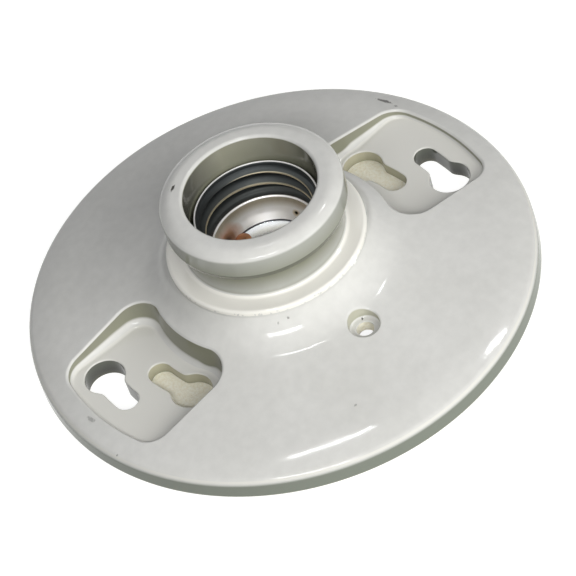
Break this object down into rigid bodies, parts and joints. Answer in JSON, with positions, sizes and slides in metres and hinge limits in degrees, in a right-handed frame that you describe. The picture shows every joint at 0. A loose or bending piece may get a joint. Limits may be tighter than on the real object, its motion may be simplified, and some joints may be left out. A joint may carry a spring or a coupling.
{
  "type": "keyless lamp holder",
  "caption": "Round glazed porcelain keyless lamp holder with a domed plate, keyhole pockets for box screws, a grooved socket collar and a screw shell for a medium-base lamp.",
  "frame": {"origin": "centre of the rim's base, in the plane that meets the box or ceiling", "axes": "+Z along the socket's axis, out of the mouth; X through the two through keyholes; Y through the two small side holes"},
  "size_m": [0.1149, 0.115, 0.0333],
  "materials": {
    "porcelain": "gloss",
    "shell_metal": "satin",
    "rivet_metal": "satin",
    "contact_metal": "satin",
    "plated_metal": "satin"
  },
  "bodies": {
    "holder": {"porcelain_body": "porcelain", "screw_shell": "shell_metal", "shell_rivet_neutral": "rivet_metal", "shell_rivet_plain": "rivet_metal", "centre_contact": "contact_metal", "contact_rivet": "rivet_metal", "hot_terminal_plate": "contact_metal", "neutral_terminal_plate": "plated_metal", "rivet_washer": "plated_metal"},
    "hot_screw": {"hot_terminal_screw": "contact_metal"},
    "neutral_screw": {"neutral_terminal_screw": "plated_metal"}
  },
  "joints": [
    {"name": "hot_screw_travel", "type": "slide", "parent": "holder", "child": "hot_screw", "axis": [0, 0, -1], "range_m": [0, 0.0026]},
    {"name": "neutral_screw_travel", "type": "slide", "parent": "holder", "child": "neutral_screw", "axis": [0, 0, -1], "range_m": [0, 0.0026]}
  ]
}
